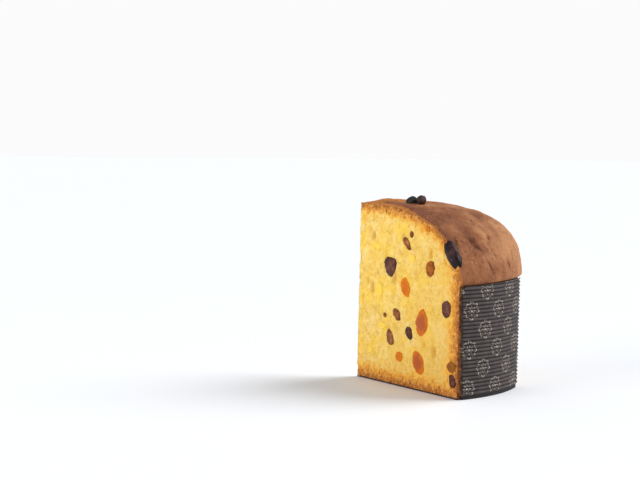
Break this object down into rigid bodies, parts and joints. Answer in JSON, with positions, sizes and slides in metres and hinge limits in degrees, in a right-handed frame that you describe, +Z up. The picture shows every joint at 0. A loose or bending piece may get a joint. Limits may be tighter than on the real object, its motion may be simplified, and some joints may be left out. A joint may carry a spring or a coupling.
{
  "type": "slice of panettone",
  "caption": "Wedge cut from a low domed fruit bread, with candied fruit and raisins at its cuts, still in its piece of fluted paper case.",
  "frame": {"origin": "centre of the footprint's bounding box, on the surface that the slice stands on", "axes": "+Z up; -Y out of the shown cut; +X from the cake's middle towards the paper case along that cut"},
  "size_m": [0.105, 0.0698, 0.1196],
  "materials": {
    "bread": "soft open yellow crumb inside a matte brown baked crust",
    "case_paper": "matte dark fluted baking paper with a pale printed ornament",
    "raisin": "soft wrinkled skin with a slight gloss",
    "peel": "moist translucent candied orange peel",
    "citron": "moist translucent candied citron"
  },
  "bodies": {
    "root": {"bread": "bread", "case_base": "case_paper", "case_wall": "case_paper", "citron_back_1": "citron", "citron_back_2": "citron", "citron_back_3": "citron", "citron_back_4": "citron", "citron_front_1": "citron", "citron_front_2": "citron", "citron_front_3": "citron", "citron_front_4": "citron", "citron_front_5": "citron", "peel_back_1": "peel", "peel_back_2": "peel", "peel_back_3": "peel", "peel_back_4": "peel", "peel_front_1": "peel", "peel_front_2": "peel", "peel_front_3": "peel", "peel_front_4": "peel", "peel_front_5": "peel", "peel_front_6": "peel", "raisin_back_1": "raisin", "raisin_back_2": "raisin", "raisin_back_3": "raisin", "raisin_back_4": "raisin", "raisin_back_5": "raisin", "raisin_back_6": "raisin", "raisin_back_7": "raisin", "raisin_back_8": "raisin", "raisin_front_1": "raisin", "raisin_front_10": "raisin", "raisin_front_2": "raisin", "raisin_front_3": "raisin", "raisin_front_4": "raisin", "raisin_front_5": "raisin", "raisin_front_6": "raisin", "raisin_front_7": "raisin", "raisin_front_8": "raisin", "raisin_front_9": "raisin", "raisin_rim": "raisin", "raisin_top_left": "raisin", "raisin_top_right": "raisin"}
  },
  "joints": []
}
